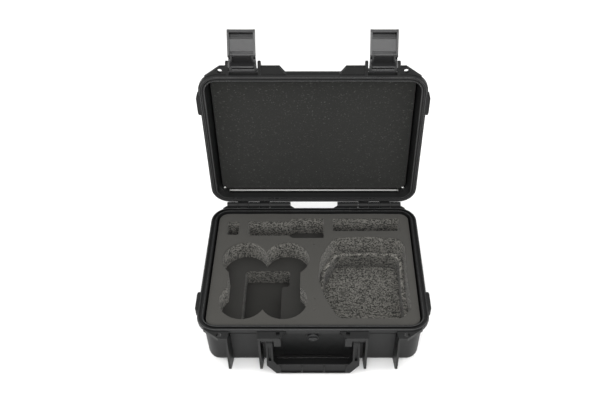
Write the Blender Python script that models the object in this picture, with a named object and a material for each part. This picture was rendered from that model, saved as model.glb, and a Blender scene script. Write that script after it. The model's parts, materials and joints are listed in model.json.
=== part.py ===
"""Hard carrying case for a palm-sized ducted drone and its goggles.

Every piece is drawn in the case's own frame with the case shut: X to the right, Y to the back, Z up,
and the origin in the middle of the base's underside.  Empties on the joint axes then carry the lid,
the latches and the handle to the open pose: lid upright, latches flipped up, handle hanging.
"""

import math

import bmesh
import bpy
from mathutils import Matrix, Vector

MM = 0.001
GAP = 0.3 * MM                      # between pieces that touch

# ---- driving dimensions ------------------------------------------------------------------------
RIM_WIDTH = 320 * MM                # across the rim, left to right
RIM_DEPTH = 238 * MM                # across the rim, front to back
RIM_RADIUS = 27 * MM                # corner of the rim seen from above
RIM_THICK = 8 * MM
BASE_HEIGHT = 80 * MM               # underside to parting plane
LID_HEIGHT = 36 * MM                # parting plane to the lid's top
WALL_THICK = 3 * MM

SIDE_INSET = 8.5 * MM               # rim edge to the side wall
FRONT_INSET = 5 * MM                # rim edge to the front wall
BACK_INSET = 4.5 * MM
DRAFT = 2 * MM                      # how far a wall leans in over its height
WALL_RADIUS = 17 * MM
EDGE_RADIUS = 8 * MM                # round edge of the underside and of the lid's top

GROOVE_NEAR, GROOVE_FAR, GROOVE_DEEP = 3.2 * MM, 6.4 * MM, 2.5 * MM
CAVITY_INSET = 9.2 * MM             # rim edge to the mouth of the hollow
LID_CAVITY_LEAN = 7 * MM
LID_FRONT_INSET, LID_FRONT_LEAN = 7.5 * MM, 5.5 * MM    # the lid's front wall stands further back

WING_REACH = 12 * MM                # wings and shelves stand this far out of the rim's front edge
WING_DROP = 2 * MM                  # their faces lie this far behind the parting plane
WING_CORNER_X = 127.4 * MM
WING_ROOT_X = 149.3 * MM
SHELF_INNER_X = 45.5 * MM
RECESS_X = 35.5 * MM
PADLOCK_X, PADLOCK_Y, PADLOCK_RADIUS = 127 * MM, -125 * MM, 3.6 * MM

FIN_OUTER_X = 117 * MM              # middle planes of the fins on both sides of a latch
FIN_INNER_X = 73 * MM
FIN_TIP_Z = 3.4 * MM
LATCH_X = (FIN_OUTER_X + FIN_INNER_X) / 2

HINGE_Y = RIM_DEPTH / 2 + 6 * MM
HINGE_Z = BASE_HEIGHT + GAP / 2
KNUCKLE_X = (70 * MM, 87 * MM, 104 * MM, 121 * MM)
KNUCKLE_RADIUS = 5 * MM
HINGE_PIN_RADIUS = 1.8 * MM
HINGE_INNER_X, HINGE_OUTER_X = 37 * MM, 138 * MM        # ends of the base's knuckles

LATCH_Y, LATCH_Z = -126 * MM, BASE_HEIGHT + 5 * MM      # latch pin, case shut
LINK_LENGTH = 25.5 * MM
LEVER_LENGTH = 34 * MM
LATCH_WIDTH = 37.2 * MM
LUG_NEAR, LUG_FAR = 13.2 * MM, 15.7 * MM                # the link's lugs, from the latch's middle
LEVER_Y, LEVER_Z = LATCH_Y, LATCH_Z - LINK_LENGTH       # pin between link and lever

HANDLE_WIDTH = 128.4 * MM
HANDLE_Y, HANDLE_Z = -124.5 * MM, 64.5 * MM             # handle pins
HANDLE_DROP = 61.5 * MM                                 # pins to the grip's lower edge
HANDLE_PIN_RADIUS = 2.2 * MM

VALVE_Z = 61.5 * MM

FOAM_TOP_Z = BASE_HEIGHT - 3 * MM
FOAM_STEP_Z = FOAM_TOP_Z - 34 * MM                      # where the cut-through top sheet ends
FOAM_PAD_Z = 14 * MM                                    # top of the plain sheet at the bottom
LID_FOAM_FACE = 14 * MM                                 # lid foam's face behind the parting plane
LID_ROD_RADIUS = 2.5 * MM

# ---- pose at rest, in degrees about X ------------------------------------------------------------
LID_OPEN = -90
LINK_OPEN = -84
LEVER_OPEN = -32
HANDLE_REST = -5.5

PLASTIC = ((0.022, 0.023, 0.023), 0.42, 0.0)
PLASTIC_MOVING = ((0.03, 0.031, 0.031), 0.36, 0.0)
FOAM = ((0.07, 0.068, 0.06), 0.95, 0.0)
LID_FOAM = ((0.034, 0.035, 0.032), 0.95, 0.0)
RUBBER = ((0.01, 0.01, 0.01), 0.7, 0.0)
STEEL = ((0.62, 0.62, 0.6), 0.3, 1.0)


# ---- helpers -------------------------------------------------------------------------------------
def clear_scene():
    for old in list(bpy.data.objects):
        bpy.data.objects.remove(old)


def new_group(name):
    group = bpy.data.collections.new(name)
    bpy.context.scene.collection.children.link(group)
    return group


def new_material(name, look):
    colour, roughness, metallic = look
    material = bpy.data.materials.new(name)
    material.use_nodes = True
    shader = material.node_tree.nodes["Principled BSDF"]
    shader.inputs["Base Color"].default_value = (*colour, 1)
    shader.inputs["Roughness"].default_value = roughness
    shader.inputs["Metallic"].default_value = metallic
    return material


def add_object(name, bm):
    """A new object in the cutters' group; finish() moves the ones that are parts."""
    bmesh.ops.recalc_face_normals(bm, faces=bm.faces)
    mesh = bpy.data.meshes.new(name)
    bm.to_mesh(mesh)
    bm.free()
    made = bpy.data.objects.new(name, mesh)
    bpy.data.collections["cutters"].objects.link(made)
    made.display_type = "WIRE"
    made.hide_render = True
    return made


def finish(made, look):
    """Turns a drawn shape into a part with its own material."""
    bpy.data.collections["cutters"].objects.unlink(made)
    bpy.data.collections["drone_carrying_case"].objects.link(made)
    made.display_type = "TEXTURED"
    made.hide_render = False
    made.data.materials.clear()
    made.data.materials.append(new_material(made.name, look))
    return made


def combine(target, tool, operation):
    """Joins a tool to the target or cuts it away, with a Boolean that stays live."""
    tool.parent = target
    step = target.modifiers.new(tool.name, "BOOLEAN")
    step.object = tool
    step.operation = operation
    step.solver = "EXACT"


def join(target, *tools):
    for tool in tools:
        combine(target, tool, "UNION")


def cut(target, *tools):
    for tool in tools:
        combine(target, tool, "DIFFERENCE")


def box(name, low, high, bevel=0.0):
    """A cube primitive stretched between two corners, with an optional small bevel all round."""
    bm = bmesh.new()
    bmesh.ops.create_cube(bm, size=1)
    low, high = Vector(low), Vector(high)
    for vert in bm.verts:
        vert.co = Vector([low[k] if vert.co[k] < 0 else high[k] for k in range(3)])
    if bevel:
        bmesh.ops.bevel(bm, geom=list(bm.edges), offset=bevel, segments=1, affect="EDGES")
    return add_object(name, bm)


def tub(name, at_low, at_high, z_low, z_high, corner, low_edge=0.0, high_edge=0.0, steps=5):
    """A cube primitive drawn to two rectangles (x0, x1, y0, y1), its upright edges rounded, and the
    edges round its lower or upper face rounded too."""
    bm = bmesh.new()
    bmesh.ops.create_cube(bm, size=1)
    for vert in bm.verts:
        x0, x1, y0, y1 = at_low if vert.co.z < 0 else at_high
        z = z_low if vert.co.z < 0 else z_high
        vert.co = Vector((x0 if vert.co.x < 0 else x1, y0 if vert.co.y < 0 else y1, z))
    middle = (z_low + z_high) / 2
    upright = [e for e in bm.edges if (e.verts[0].co.z - middle) * (e.verts[1].co.z - middle) < 0]
    bmesh.ops.bevel(bm, geom=upright, offset=corner, segments=steps, profile=0.5, affect="EDGES")
    for level, radius in ((z_low, low_edge), (z_high, high_edge)):
        if radius:
            ring = [e for e in bm.edges if all(abs(v.co.z - level) < 1e-6 for v in e.verts)]
            rounds = 3 if radius > 2 * MM else 1
            bmesh.ops.bevel(bm, geom=ring, offset=radius, segments=rounds, profile=0.5, affect="EDGES")
    return add_object(name, bm)


def inset_rectangle(inset_x, inset_front, inset_back):
    """The rim's rectangle moved inwards, as (x0, x1, y0, y1)."""
    half_x, half_y = RIM_WIDTH / 2 - inset_x, RIM_DEPTH / 2
    return -half_x, half_x, -half_y + inset_front, half_y - inset_back


def rod(name, centre, radius, length, axis="X", sides=16):
    """A cylinder primitive along X, Y or Z."""
    bm = bmesh.new()
    bmesh.ops.create_cone(bm, cap_ends=True, segments=sides, radius1=radius, radius2=radius, depth=length)
    turn = {"X": Matrix.Rotation(math.pi / 2, 4, "Y"), "Y": Matrix.Rotation(math.pi / 2, 4, "X"),
            "Z": Matrix.Identity(4)}[axis]
    bmesh.ops.transform(bm, matrix=Matrix.Translation(centre) @ turn, verts=bm.verts)
    return add_object(name, bm)


# which way the two axes of an outline and its thickness point
PLANES = {
    "XY": Matrix.Identity(3),
    "YZ": Matrix(((0, 0, 1), (1, 0, 0), (0, 1, 0))),
    "XZ": Matrix(((1, 0, 0), (0, 0, -1), (0, 1, 0))),
}


def prism(name, outline, near, far, plane="XY"):
    """A flat outline as a filled 2D curve, given thickness from near to far along its normal."""
    curve = bpy.data.curves.new(name, "CURVE")
    curve.dimensions = "2D"
    curve.fill_mode = "BOTH"
    curve.extrude = (far - near) / 2
    spline = curve.splines.new("POLY")
    spline.points.add(len(outline) - 1)
    for point, (a, b) in zip(spline.points, outline):
        point.co = (a, b, 0, 1)
    spline.use_cyclic_u = True
    drawn = bpy.data.objects.new(name, curve)
    bpy.context.scene.collection.objects.link(drawn)
    mesh = bpy.data.meshes.new_from_object(drawn.evaluated_get(bpy.context.evaluated_depsgraph_get()))
    bpy.data.objects.remove(drawn)
    bm = bmesh.new()
    bm.from_mesh(mesh)
    bpy.data.meshes.remove(mesh)
    bmesh.ops.remove_doubles(bm, verts=bm.verts, dist=1e-6)
    # an XZ outline's normal is -Y, so its thickness is counted towards -Y and turned round here
    middle = (near + far) / 2 * (-1 if plane == "XZ" else 1)
    for vert in bm.verts:
        vert.co = PLANES[plane] @ (vert.co + Vector((0, 0, middle)))
    return add_object(name, bm)


def arc(centre, radius, start, end, steps):
    """Points on a circle from one angle to another, in degrees."""
    angles = [math.radians(start + (end - start) * k / steps) for k in range(steps + 1)]
    return [(centre[0] + radius * math.cos(a), centre[1] + radius * math.sin(a)) for a in angles]


def stadium(first, second, radius, steps=6):
    """A bar with round ends between two centres, the first above the second."""
    return arc(first, radius, 0, 180, steps) + arc(second, radius, 180, 360, steps)


def rounded(points, radius, steps=3):
    """A polygon, given anticlockwise, whose corners are rounded by short Bezier arcs."""
    outline = []
    for k, corner in enumerate(points):
        here, before, after = (Vector(p) for p in (corner, points[k - 1], points[(k + 1) % len(points)]))
        reach = min(radius, (before - here).length / 2.2, (after - here).length / 2.2)
        start, end = here + (before - here).normalized() * reach, here + (after - here).normalized() * reach
        for n in range(steps + 1):
            t = n / steps
            outline.append(tuple(start * (1 - t) ** 2 + here * 2 * t * (1 - t) + end * t ** 2))
    return outline


def mirrored(outline):
    """The outline on the other side of X = 0, still anticlockwise."""
    return [(-x, y) for x, y in reversed(outline)]


def span(face, way, near, far):
    """Lower and upper height of a slab that lies near to far behind a face."""
    ends = (face + way * near, face + way * far)
    return min(ends), max(ends)


# ---- what the base and the lid have in common ------------------------------------------------------
def rim(name, shell, face, way):
    """The flange round the mouth with its wings, shelves and side lugs.  way is -1 on the base and
    +1 on the lid."""
    low, high = span(face, way, 0, RIM_THICK)
    full = inset_rectangle(0, 0, 0)
    join(shell, tub(f"{name}_flange", full, full, low, high, RIM_RADIUS, 1 * MM, 1 * MM, 6))
    front = -RIM_DEPTH / 2
    reach = front - WING_REACH
    wing = [(-WING_ROOT_X, front + 4 * MM), (-WING_CORNER_X, reach), (-FIN_OUTER_X - 1 * MM, reach),
            (-FIN_OUTER_X - 1 * MM, front + 15 * MM), (-WING_ROOT_X + 8 * MM, front + 20 * MM)]
    shelf = [(-FIN_INNER_X + 1 * MM, front + 8 * MM), (-FIN_INNER_X + 1 * MM, reach),
             (-SHELF_INNER_X, reach), (-RECESS_X, front + 1 * MM), (-RECESS_X, front + 8 * MM)]
    low, high = span(face, way, WING_DROP, RIM_THICK - 0.2 * MM)
    for label, outline in (("wing", wing), ("shelf", shelf)):
        join(shell, prism(f"{name}_{label}_left", outline, low, high),
             prism(f"{name}_{label}_right", mirrored(outline), low, high))
    low, high = span(face, way, 0.4 * MM, 12 * MM)
    for side, tag in ((-1, "left"), (1, "right")):
        edge = side * RIM_WIDTH / 2
        lug = [(edge - side * 9 * MM, -86 * MM), (edge + side * 3.2 * MM, -84.5 * MM),
               (edge + side * 4.2 * MM, -81 * MM), (edge + side * 4.2 * MM, -56 * MM),
               (edge + side * 3.2 * MM, -52.5 * MM), (edge - side * 9 * MM, -51 * MM)]
        join(shell, prism(f"{name}_lug_{tag}", lug if side > 0 else list(reversed(lug)), low, high))


def seal_groove(name, shell, face, way):
    """Cuts the groove round the rim: a ring between two rounded rectangles."""
    low, high = span(face, way, -1 * MM, GROOVE_DEEP)
    outside = inset_rectangle(GROOVE_NEAR, GROOVE_NEAR, GROOVE_NEAR)
    inside = inset_rectangle(GROOVE_FAR, GROOVE_FAR, GROOVE_FAR)
    ring = tub(f"{name}_groove", outside, outside, low, high, RIM_RADIUS - GROOVE_NEAR, steps=6)
    cut(ring, tub(f"{name}_groove_island", inside, inside, low - 1 * MM, high + 1 * MM,
                  RIM_RADIUS - GROOVE_FAR, steps=6))
    cut(shell, ring)


def padlock_holes(name, shell, face, way):
    low, high = span(face, way, -1 * MM, RIM_THICK + 4 * MM)
    for side, tag in ((-1, "left"), (1, "right")):
        hole = rod(f"{name}_padlock_{tag}", (side * PADLOCK_X, PADLOCK_Y, (low + high) / 2),
                   PADLOCK_RADIUS, high - low, "Z")
        cut(shell, hole)


def hinge_part(name, shell, face, way, intervals):
    """Knuckles on the given stretches of the hinge axis, each on an arm from the rim's back edge."""
    back = RIM_DEPTH / 2
    low, high = span(face, way, 0.6 * MM, RIM_THICK - 0.8 * MM)
    for side, tag in ((-1, "left"), (1, "right")):
        for number, (start, end) in enumerate(intervals):
            middle, length = side * (start + end) / 2, end - start - 0.5 * MM
            join(shell, rod(f"{name}_knuckle_{tag}_{number}", (middle, HINGE_Y, HINGE_Z), KNUCKLE_RADIUS,
                            length),
                 box(f"{name}_knuckle_arm_{tag}_{number}", (middle - length / 2, back - 2.4 * MM, low),
                     (middle + length / 2, HINGE_Y + 0.5 * MM, high)))
        cut(shell, rod(f"{name}_hinge_bore_{tag}", (side * 95.5 * MM, HINGE_Y, HINGE_Z),
                       HINGE_PIN_RADIUS + GAP, 60 * MM, "X", 12))


# ---- base ----------------------------------------------------------------------------------------
def wedge_fin(name, x, root, tip, low, high, front):
    """An upright rib, thick at the wall and thin at its front edge, its lower front corner cut."""
    back = -RIM_DEPTH / 2 + 9 * MM
    plan = [(x - root / 2, back), (x - tip / 2, front), (x + tip / 2, front), (x + root / 2, back)]
    fin = prism(name, plan, low, high)
    nose = [(front - 2 * MM, low - 1 * MM), (front + 4 * MM, low - 1 * MM), (front - 2 * MM, low + 5 * MM)]
    cut(fin, prism(f"{name}_nose", nose, x - root, x + root, "YZ"))
    return fin


def base_shell():
    """The lower half: a drafted tub with a flanged rim, four fins that guard the latches, and the
    brackets that hold the handle's pins."""
    top_z = BASE_HEIGHT - 4 * MM
    outer_top = inset_rectangle(SIDE_INSET, FRONT_INSET, BACK_INSET)
    outer_low = inset_rectangle(SIDE_INSET + DRAFT, FRONT_INSET + DRAFT, BACK_INSET + DRAFT)
    shell = tub("base_shell", outer_low, outer_top, 0, top_z, WALL_RADIUS, EDGE_RADIUS)
    rim("base", shell, BASE_HEIGHT, -1)
    for side, tag in ((-1, "left"), (1, "right")):
        top = BASE_HEIGHT - WING_DROP - 0.1 * MM
        join(shell,
             wedge_fin(f"base_fin_outer_{tag}", side * FIN_OUTER_X, 8 * MM, 3.2 * MM, FIN_TIP_Z, top,
                       -131.2 * MM),
             wedge_fin(f"base_fin_inner_{tag}", side * FIN_INNER_X, 6.4 * MM, 3.2 * MM, FIN_TIP_Z, top,
                       -131.2 * MM),
             box(f"base_bracket_{tag}", (side * 48.2 * MM - 4.6 * MM, -130.9 * MM, 59.5 * MM),
                 (side * 48.2 * MM + 4.6 * MM, -110 * MM, BASE_HEIGHT - 3 * MM)),
             box(f"base_rest_rib_{tag}", (side * 58 * MM - 2.5 * MM, -121.6 * MM, 9 * MM),
                 (side * 58 * MM + 2.5 * MM, -110 * MM, 24 * MM), 0.8 * MM))
    mouth = inset_rectangle(CAVITY_INSET, CAVITY_INSET, CAVITY_INSET)
    floor = inset_rectangle(SIDE_INSET + DRAFT + WALL_THICK, CAVITY_INSET + 1.2 * MM,
                            CAVITY_INSET + 1.2 * MM)
    cut(shell, tub("base_cavity", floor, mouth, WALL_THICK, BASE_HEIGHT + 2 * MM, 15 * MM, 4 * MM))
    seal_groove("base", shell, BASE_HEIGHT, -1)
    padlock_holes("base", shell, BASE_HEIGHT, -1)
    for side, tag in ((-1, "left"), (1, "right")):
        # the lip that the latch's toe bar catches is thinner than the rest of the rim
        cut(shell, box(f"base_catch_{tag}", (side * LATCH_X - 19.5 * MM, -121 * MM, BASE_HEIGHT - 14 * MM),
                       (side * LATCH_X + 19.5 * MM, -113.2 * MM, BASE_HEIGHT - 5.5 * MM)))
        cut(shell, box(f"base_shelf_pocket_{tag}", (side * 47.5 * MM - 2.6 * MM, -126 * MM, 74.5 * MM),
                       (side * 47.5 * MM + 2.6 * MM, -120.4 * MM, BASE_HEIGHT)))
        cut(shell, rod(f"base_handle_bore_{tag}", (side * 60.3 * MM, HANDLE_Y, HANDLE_Z),
                       HANDLE_PIN_RADIUS + GAP, 30 * MM, "X", 12))
    cut(shell, box("base_centre_recess", (-43 * MM, -120 * MM, 12 * MM),
                   (43 * MM, -111.7 * MM, BASE_HEIGHT - RIM_THICK)))
    cut(shell, rod("base_valve_hole", (0, -110 * MM, VALVE_Z), 6.2 * MM, 20 * MM, "Y", 20))
    # the outer and the inner knuckle carry no pin: they close the gap beside the hinge
    hinge_part("base", shell, BASE_HEIGHT, -1,
               [(HINGE_INNER_X, KNUCKLE_X[0]), KNUCKLE_X[1:3], (KNUCKLE_X[3], HINGE_OUTER_X)])
    back = RIM_DEPTH / 2
    low, high = span(BASE_HEIGHT, -1, 0.6 * MM, RIM_THICK - 0.8 * MM)
    for label, end, root in (("inner", HINGE_INNER_X + 1 * MM, HINGE_INNER_X - 6 * MM),
                             ("outer", HINGE_OUTER_X - 1 * MM, HINGE_OUTER_X + 6 * MM)):
        gusset = [(end, back - 2.4 * MM), (end, HINGE_Y), (root, back), (root, back - 2.4 * MM)]
        right = gusset if label == "inner" else gusset[::-1]
        join(shell, prism(f"base_gusset_{label}_right", right, low, high),
             prism(f"base_gusset_{label}_left", mirrored(right), low, high))
    return finish(shell, PLASTIC)


def foam_block(name, low_z, high_z, side, ends, low_edge=0.0):
    """A foam sheet that fills the base between two heights, so far in from its mouth."""
    area = inset_rectangle(CAVITY_INSET + side, CAVITY_INSET + ends, CAVITY_INSET + ends)
    sheet = tub(name, area, area, low_z, high_z, 14 * MM, low_edge)
    if low_z < VALVE_Z + 11 * MM and high_z > VALVE_Z - 11 * MM:
        cut(sheet, box(f"{name}_valve_relief", (-11 * MM, -115 * MM, VALVE_Z - 11 * MM),
                       (11 * MM, -102.5 * MM, VALVE_Z + 11 * MM)))
    return sheet


# outlines of the cut-outs, anticlockwise, in mm
GOGGLES_POCKET = [(21, 40), (10, 15), (7, -23), (15.5, -56), (25, -78), (36, -96), (124, -96),
                  (138, -78), (136.5, -28), (138, 43), (128, 56), (79, 59), (31, 56)]
GOGGLES_LEDGE = 6.5 * MM            # how far the deeper cut stays inside the upper one
SLOT_POCKET = [(-102, 61.5), (-38, 61.5), (-33, 56), (15.5, 56), (15.5, 98), (-34, 98), (-39, 92),
               (-102, 92)]
CABLE_POCKET = [(29.5, 71), (133, 71), (133, 98), (29.5, 98)]
SMALL_POCKET = [(-134, 63), (-116, 63), (-116, 91), (-134, 91)]
DRONE_DEEP = [(-103, -78), (-47, -78), (-47, -12), (-36, -12), (-36, 19), (-103, 19)]
DRONE_DUCTS = [(-102, 13.5), (-39.5, 13.5), (-99.5, -64), (-41.5, -64)]
DRONE_BODY = [(-124, -74), (-19, -74), (-19, 22), (-124, 22)]


def scaled(outline):
    return [(x * MM, y * MM) for x, y in outline]


def drone_pocket(name, radius, low_z, high_z):
    """Tools for the cut-out of a four-ducted drone: a round lobe for each duct and its body."""
    middle_z, height = (low_z + high_z) / 2, high_z - low_z
    tools = [rod(f"{name}_lobe_{k}", (x, y, middle_z), radius, height, "Z", 40)
             for k, (x, y) in enumerate(scaled(DRONE_DUCTS))]
    return tools + [prism(f"{name}_body", rounded(scaled(DRONE_BODY), 6 * MM), low_z, high_z)]


def shrunk(points, distance):
    """A polygon, given anticlockwise, with every edge moved inwards."""
    moved = []
    for k, corner in enumerate(points):
        here, before, after = (Vector(p) for p in (corner, points[k - 1], points[(k + 1) % len(points)]))
        one, two = (here - before).normalized().orthogonal(), (after - here).normalized().orthogonal()
        inwards = (one + two).normalized()
        moved.append(tuple(here + inwards * distance / inwards.dot(one)))
    return moved


def base_foams():
    """Three sheets: the top one cut through for each thing carried, the middle one cut deeper
    under the drone's body and the goggles, and a plain pad."""
    low, high = FOAM_STEP_Z - 2 * MM, FOAM_TOP_Z + 2 * MM
    top = foam_block("base_foam_top", FOAM_STEP_Z, FOAM_TOP_Z, 3 * MM, 1.4 * MM)
    cut(top, *drone_pocket("drone", 33.3 * MM, low, high))
    for label, outline, corner in (("goggles", GOGGLES_POCKET, 9 * MM),
                                   ("battery_slot", SLOT_POCKET, 3 * MM),
                                   ("cable_slot", CABLE_POCKET, 3 * MM),
                                   ("small_slot", SMALL_POCKET, 2.5 * MM)):
        cut(top, prism(label, rounded(scaled(outline), corner), low, high))
    finish(top, FOAM)

    low, high = FOAM_PAD_Z - 2 * MM, FOAM_STEP_Z + 2 * MM
    middle = foam_block("base_foam_middle", FOAM_PAD_Z + GAP, FOAM_STEP_Z - GAP, 4.4 * MM, 1.8 * MM)
    cut(middle, prism("drone_deep", rounded(scaled(DRONE_DEEP), 5 * MM), low, high))
    goggles = shrunk(scaled(GOGGLES_POCKET), GOGGLES_LEDGE)
    cut(middle, prism("goggles_deep", rounded(goggles, 8 * MM), low, high))
    finish(middle, FOAM)

    pad = foam_block("base_foam_pad", WALL_THICK + GAP, FOAM_PAD_Z, 4.8 * MM, 2 * MM, 5 * MM)
    finish(pad, FOAM)


def valve():
    """A pressure valve through the front wall: flanged body, its seal, the nut inside and the knob
    that is turned by hand."""
    wall = -111.7 * MM
    body = rod("valve_body", (0, wall - 1.4 * MM, VALVE_Z), 9.2 * MM, 2.2 * MM, "Y", 28)
    join(body, rod("valve_stem", (0, wall + 3 * MM, VALVE_Z), 5.8 * MM, 10 * MM, "Y", 20))
    finish(body, PLASTIC_MOVING)
    nut = rod("valve_nut", (0, -107.5 * MM, VALVE_Z), 9.5 * MM, 3 * MM, "Y", 6)
    cut(nut, rod("valve_nut_bore", (0, -107.5 * MM, VALVE_Z), 6.1 * MM, 6 * MM, "Y", 20))
    finish(nut, PLASTIC_MOVING)
    knob = rod("valve_knob", (0, wall - 4.6 * MM, VALVE_Z), 7.6 * MM, 3.6 * MM, "Y", 28)
    join(knob, box("valve_grip", (-6.6 * MM, wall - 9 * MM, VALVE_Z - 1.4 * MM),
                   (6.6 * MM, wall - 5 * MM, VALVE_Z + 1.4 * MM), 0.5 * MM))
    return finish(knob, PLASTIC_MOVING)


def base_pins():
    for side, tag in ((-1, "left"), (1, "right")):
        finish(rod(f"hinge_pin_{tag}", (side * 95.5 * MM, HINGE_Y, HINGE_Z), HINGE_PIN_RADIUS, 50 * MM),
               STEEL)
        finish(rod(f"handle_pin_{tag}", (side * 60.1 * MM, HANDLE_Y, HANDLE_Z), HANDLE_PIN_RADIUS,
                   28.6 * MM), STEEL)


# ---- lid -----------------------------------------------------------------------------------------
def lid_ear(name, x):
    """A rib of the lid that carries one end of a latch pin and guards the latch."""
    face, front = BASE_HEIGHT + GAP, -137 * MM
    profile = [(-108 * MM, face + 1 * MM), (-132 * MM, face + 1 * MM), (front, face + 5 * MM),
               (front, face + 10 * MM), (-132 * MM, face + 15 * MM), (-114 * MM, face + 26 * MM),
               (-108 * MM, face + 26 * MM)]
    return prism(name, profile, x - 1.9 * MM, x + 1.9 * MM, "YZ")


def lid_shell():
    """The upper half, drawn shut: a shallower tub with the same rim, ears for the latch pins and a
    raised frame on its top."""
    face, top = BASE_HEIGHT + GAP, BASE_HEIGHT + LID_HEIGHT
    outer_low = inset_rectangle(SIDE_INSET, LID_FRONT_INSET, BACK_INSET)
    outer_top = inset_rectangle(SIDE_INSET + DRAFT, LID_FRONT_INSET + LID_FRONT_LEAN, BACK_INSET + DRAFT)
    shell = tub("lid_shell", outer_low, outer_top, face + 4 * MM, top, WALL_RADIUS, 0, EDGE_RADIUS)
    rim("lid", shell, face, 1)
    for side, tag in ((-1, "left"), (1, "right")):
        join(shell, lid_ear(f"lid_ear_outer_{tag}", side * FIN_OUTER_X),
             lid_ear(f"lid_ear_inner_{tag}", side * FIN_INNER_X))
    mouth = inset_rectangle(CAVITY_INSET, CAVITY_INSET, CAVITY_INSET)
    lean = CAVITY_INSET + LID_CAVITY_LEAN
    ceiling = inset_rectangle(lean, lean, lean)
    cut(shell, tub("lid_cavity", mouth, ceiling, face - 2 * MM, top - WALL_THICK, 15 * MM, 0, 3 * MM))
    seal_groove("lid", shell, face, 1)
    padlock_holes("lid", shell, face, 1)
    for side, tag in ((-1, "left"), (1, "right")):
        cut(shell, rod(f"lid_latch_bore_{tag}", (side * LATCH_X, LATCH_Y, LATCH_Z), 2 * MM + GAP, 60 * MM,
                       "X", 12))
    panel = (-118 * MM, 118 * MM, -76 * MM, 78 * MM)
    cut(shell, tub("lid_panel", panel, panel, top - 1.2 * MM, top + 2 * MM, 14 * MM, steps=4))
    hinge_part("lid", shell, face, 1, [KNUCKLE_X[0:2], KNUCKLE_X[2:4]])
    return finish(shell, PLASTIC)


def lid_seal():
    """A round rubber cord lying in the lid's groove, as a closed curve with a bevel."""
    inset = (GROOVE_NEAR + GROOVE_FAR) / 2
    x0, x1, y0, y1 = inset_rectangle(inset, inset, inset)
    radius = RIM_RADIUS - inset
    path = (arc((x1 - radius, y1 - radius), radius, 0, 90, 6)
            + arc((x0 + radius, y1 - radius), radius, 90, 180, 6)
            + arc((x0 + radius, y0 + radius), radius, 180, 270, 6)
            + arc((x1 - radius, y0 + radius), radius, 270, 360, 6))
    curve = bpy.data.curves.new("lid_seal", "CURVE")
    curve.dimensions = "3D"
    curve.bevel_depth = 1.15 * MM
    curve.bevel_resolution = 2
    spline = curve.splines.new("POLY")
    spline.points.add(len(path) - 1)
    for point, (x, y) in zip(spline.points, path):
        point.co = (x, y, BASE_HEIGHT + GAP + 1 * MM, 1)
    spline.use_cyclic_u = True
    drawn = bpy.data.objects.new("lid_seal_path", curve)
    bpy.context.scene.collection.objects.link(drawn)
    mesh = bpy.data.meshes.new_from_object(drawn.evaluated_get(bpy.context.evaluated_depsgraph_get()))
    bpy.data.objects.remove(drawn)
    bm = bmesh.new()
    bm.from_mesh(mesh)
    bpy.data.meshes.remove(mesh)
    bmesh.ops.remove_doubles(bm, verts=bm.verts, dist=1e-6)
    return finish(add_object("lid_seal", bm), RUBBER)


def lid_inside():
    """The plain foam sheet, the steel rod along its hinge side and the two studs at its corners."""
    face = BASE_HEIGHT + GAP + LID_FOAM_FACE
    ceiling = BASE_HEIGHT + LID_HEIGHT - WALL_THICK - GAP
    near, far = CAVITY_INSET + 6.2 * MM, CAVITY_INSET + 11.5 * MM
    foam = tub("lid_foam", inset_rectangle(near, near, near), inset_rectangle(far, far, far), face,
               ceiling, 10 * MM)
    back = RIM_DEPTH / 2 - near
    pieces = [finish(foam, LID_FOAM)]
    pieces.append(finish(rod("lid_rod", (0, back - 0.2 * MM, face - GAP - LID_ROD_RADIUS), LID_ROD_RADIUS,
                             269 * MM), STEEL))
    for side, tag in ((-1, "left"), (1, "right")):
        stud = rod(f"lid_stud_{tag}", (side * 141 * MM, back - 3.2 * MM, face - 1.2 * MM), 2.5 * MM,
                   1.6 * MM, "Z", 12)
        pieces.append(finish(stud, STEEL))
    return pieces


def latch_pins():
    return [finish(rod(f"latch_pin_{tag}", (side * LATCH_X, LATCH_Y, LATCH_Z), 2 * MM, 46.6 * MM), STEEL)
            for side, tag in ((-1, "left"), (1, "right"))]


# ---- latches -------------------------------------------------------------------------------------
def latch_link(tag, side):
    """From the lid's pin to the lever: two rails, a web between them, the toe bar that catches the
    base's lip, and two inner lugs round the lever's pin."""
    name = f"latch_link_{tag}"
    middle, half = side * LATCH_X, LATCH_WIDTH / 2 - 0.3 * MM
    rail_end = (LEVER_Y, LEVER_Z + 9.3 * MM)
    pin, lever_pin = (LATCH_Y, LATCH_Z), (LEVER_Y, LEVER_Z)
    rail = 3 * MM
    link = prism(name, stadium(pin, rail_end, 4 * MM), middle - half, middle - half + rail, "YZ")
    join(link, prism(f"{name}_rail", stadium(pin, rail_end, 4 * MM), middle + half - rail, middle + half,
                     "YZ"))
    for k, (start, end) in enumerate(((-LUG_FAR, -LUG_NEAR), (LUG_NEAR, LUG_FAR))):
        join(link, prism(f"{name}_lug_{k}",
                         stadium((LEVER_Y, LEVER_Z + 12 * MM), lever_pin, 3 * MM),
                         middle + start, middle + end, "YZ"))
    join(link, box(f"{name}_web", (middle - half + 1 * MM, LATCH_Y - 3.4 * MM, LEVER_Z + 4.2 * MM),
                   (middle + half - 1 * MM, LATCH_Y - 1.2 * MM, LATCH_Z - 5 * MM)))
    join(link, box(f"{name}_toe", (middle - half + 2 * MM, LATCH_Y - 2 * MM, BASE_HEIGHT - 8.7 * MM),
                   (middle + half - 2 * MM, -115.6 * MM, BASE_HEIGHT - 6.2 * MM), 0.5 * MM))
    join(link, rod(f"{name}_sleeve", (middle, LATCH_Y, LATCH_Z), 3.6 * MM, 2 * half - 1 * MM, "X", 16))
    cut(link, rod(f"{name}_bore", (middle, LATCH_Y, LATCH_Z), 2 * MM + GAP, 60 * MM, "X", 12))
    cut(link, rod(f"{name}_lever_bore", (middle, LEVER_Y, LEVER_Z), 1.6 * MM + GAP, 60 * MM, "X", 12))
    return finish(link, PLASTIC_MOVING)


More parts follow.
